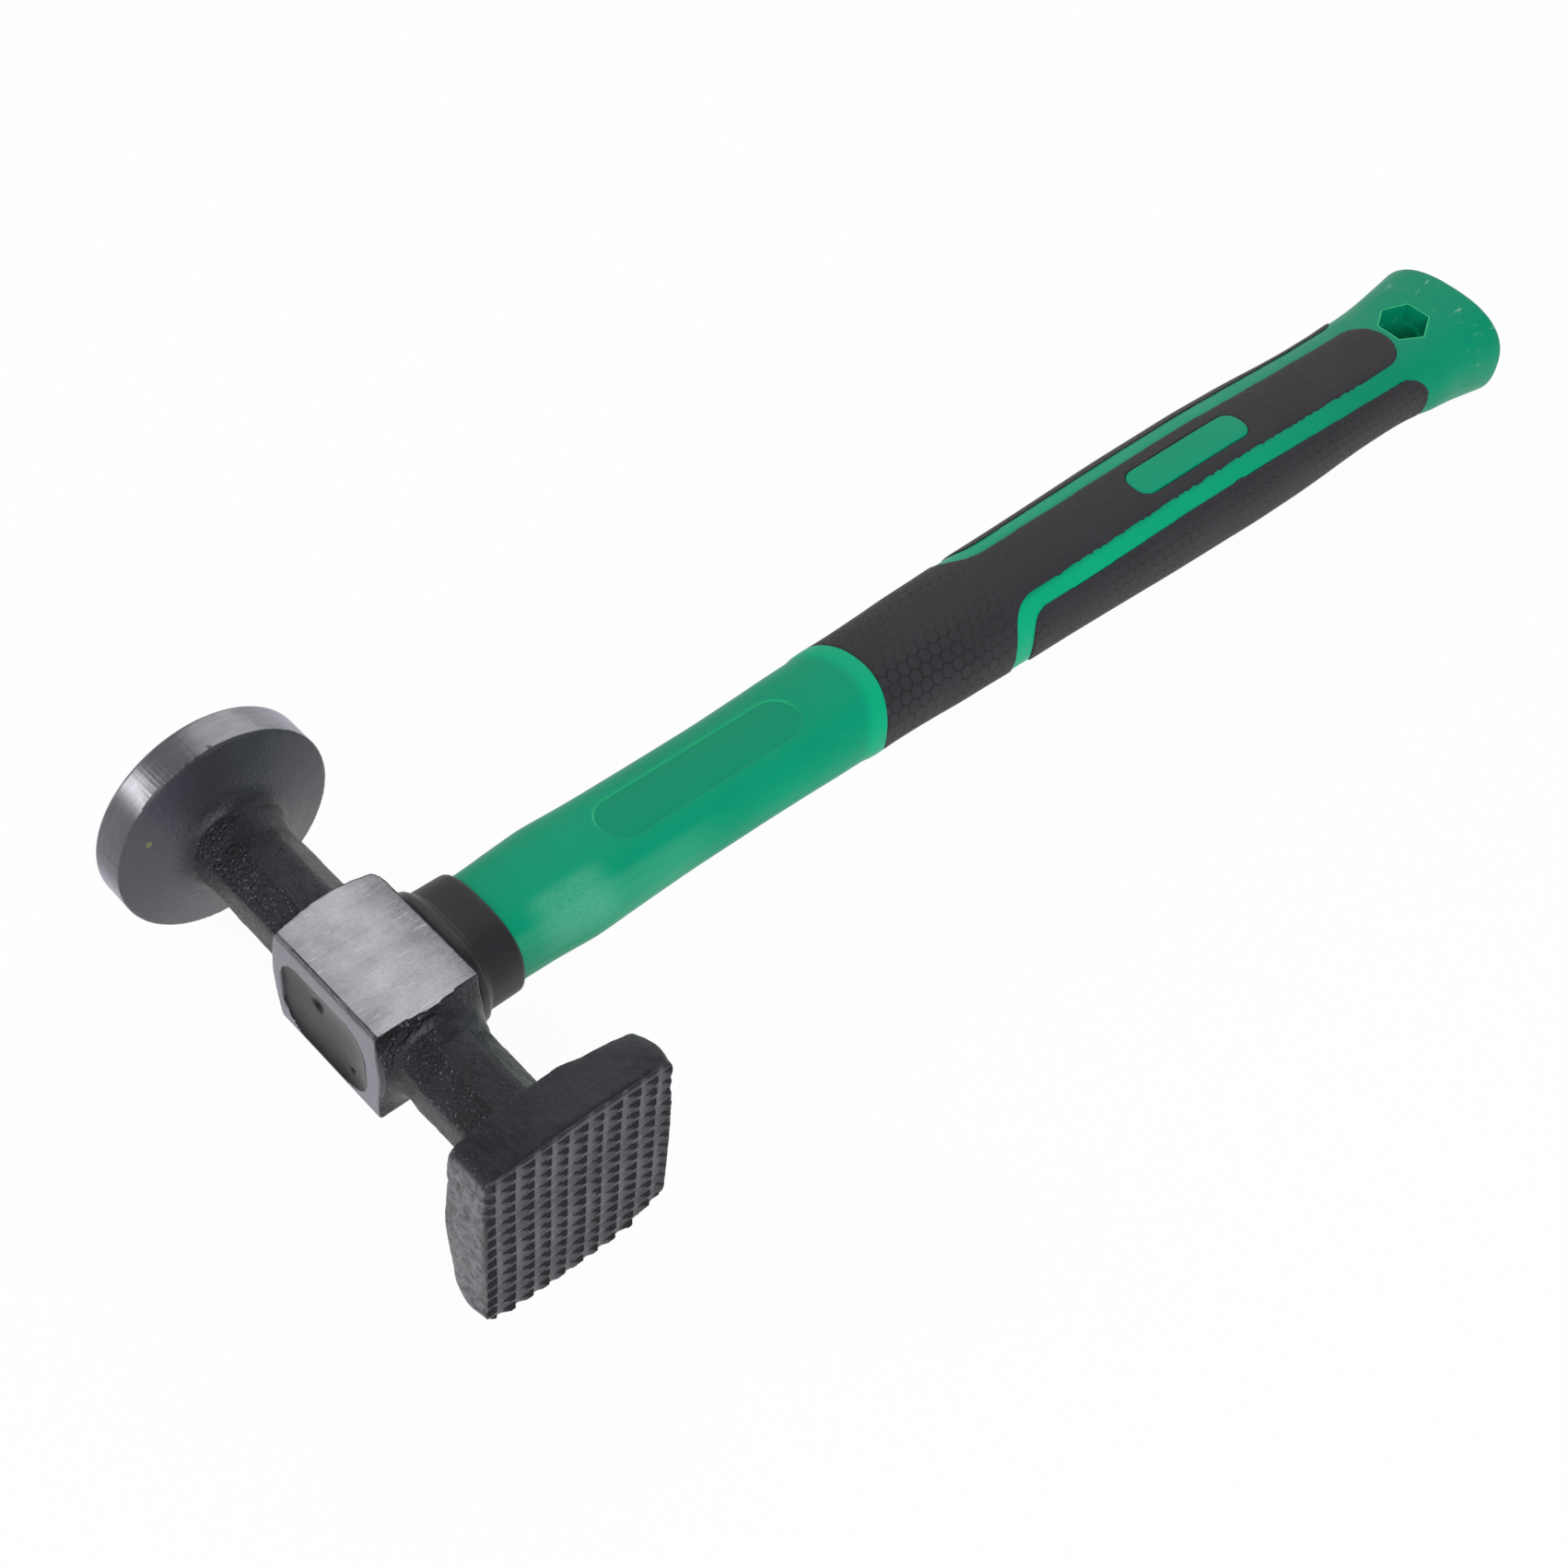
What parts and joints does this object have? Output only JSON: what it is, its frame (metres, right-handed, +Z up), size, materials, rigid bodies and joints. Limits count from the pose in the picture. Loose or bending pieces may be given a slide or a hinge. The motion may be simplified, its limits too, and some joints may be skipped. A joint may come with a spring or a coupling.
{
  "type": "auto body hammer",
  "caption": "Auto body hammer with a round face and a serrated square face on a forged head, and a moulded handle with a soft grip.",
  "frame": {"origin": "under the middle of the hammer's box, at the height of its lowest point, which is the lower edge of the serrated face", "axes": "+X along the handle from the head to the butt, +Y along the head from the serrated face to the round face, +Z up out of the upper cheek"},
  "size_m": [0.3332, 0.1112, 0.0462],
  "materials": {
    "head_steel": "dark forged skin with ground cheeks and ground rims",
    "resin": "poured dark resin, glossy and slightly sunken",
    "collar_plastic": "black moulded plastic",
    "fibreglass": "pultruded fibreglass rod",
    "green_plastic": "green moulded polypropylene, lightly scuffed",
    "grip_rubber": "black soft rubber with a fine embossed texture"
  },
  "bodies": {
    "root": {"hammer_head": "head_steel", "eye_epoxy": "resin", "head_collar": "collar_plastic", "core_rod": "fibreglass", "handle_body": "green_plastic", "grip_sleeve": "grip_rubber", "grip_side_panel_near": "grip_rubber", "grip_side_panel_far": "grip_rubber"}
  },
  "joints": []
}
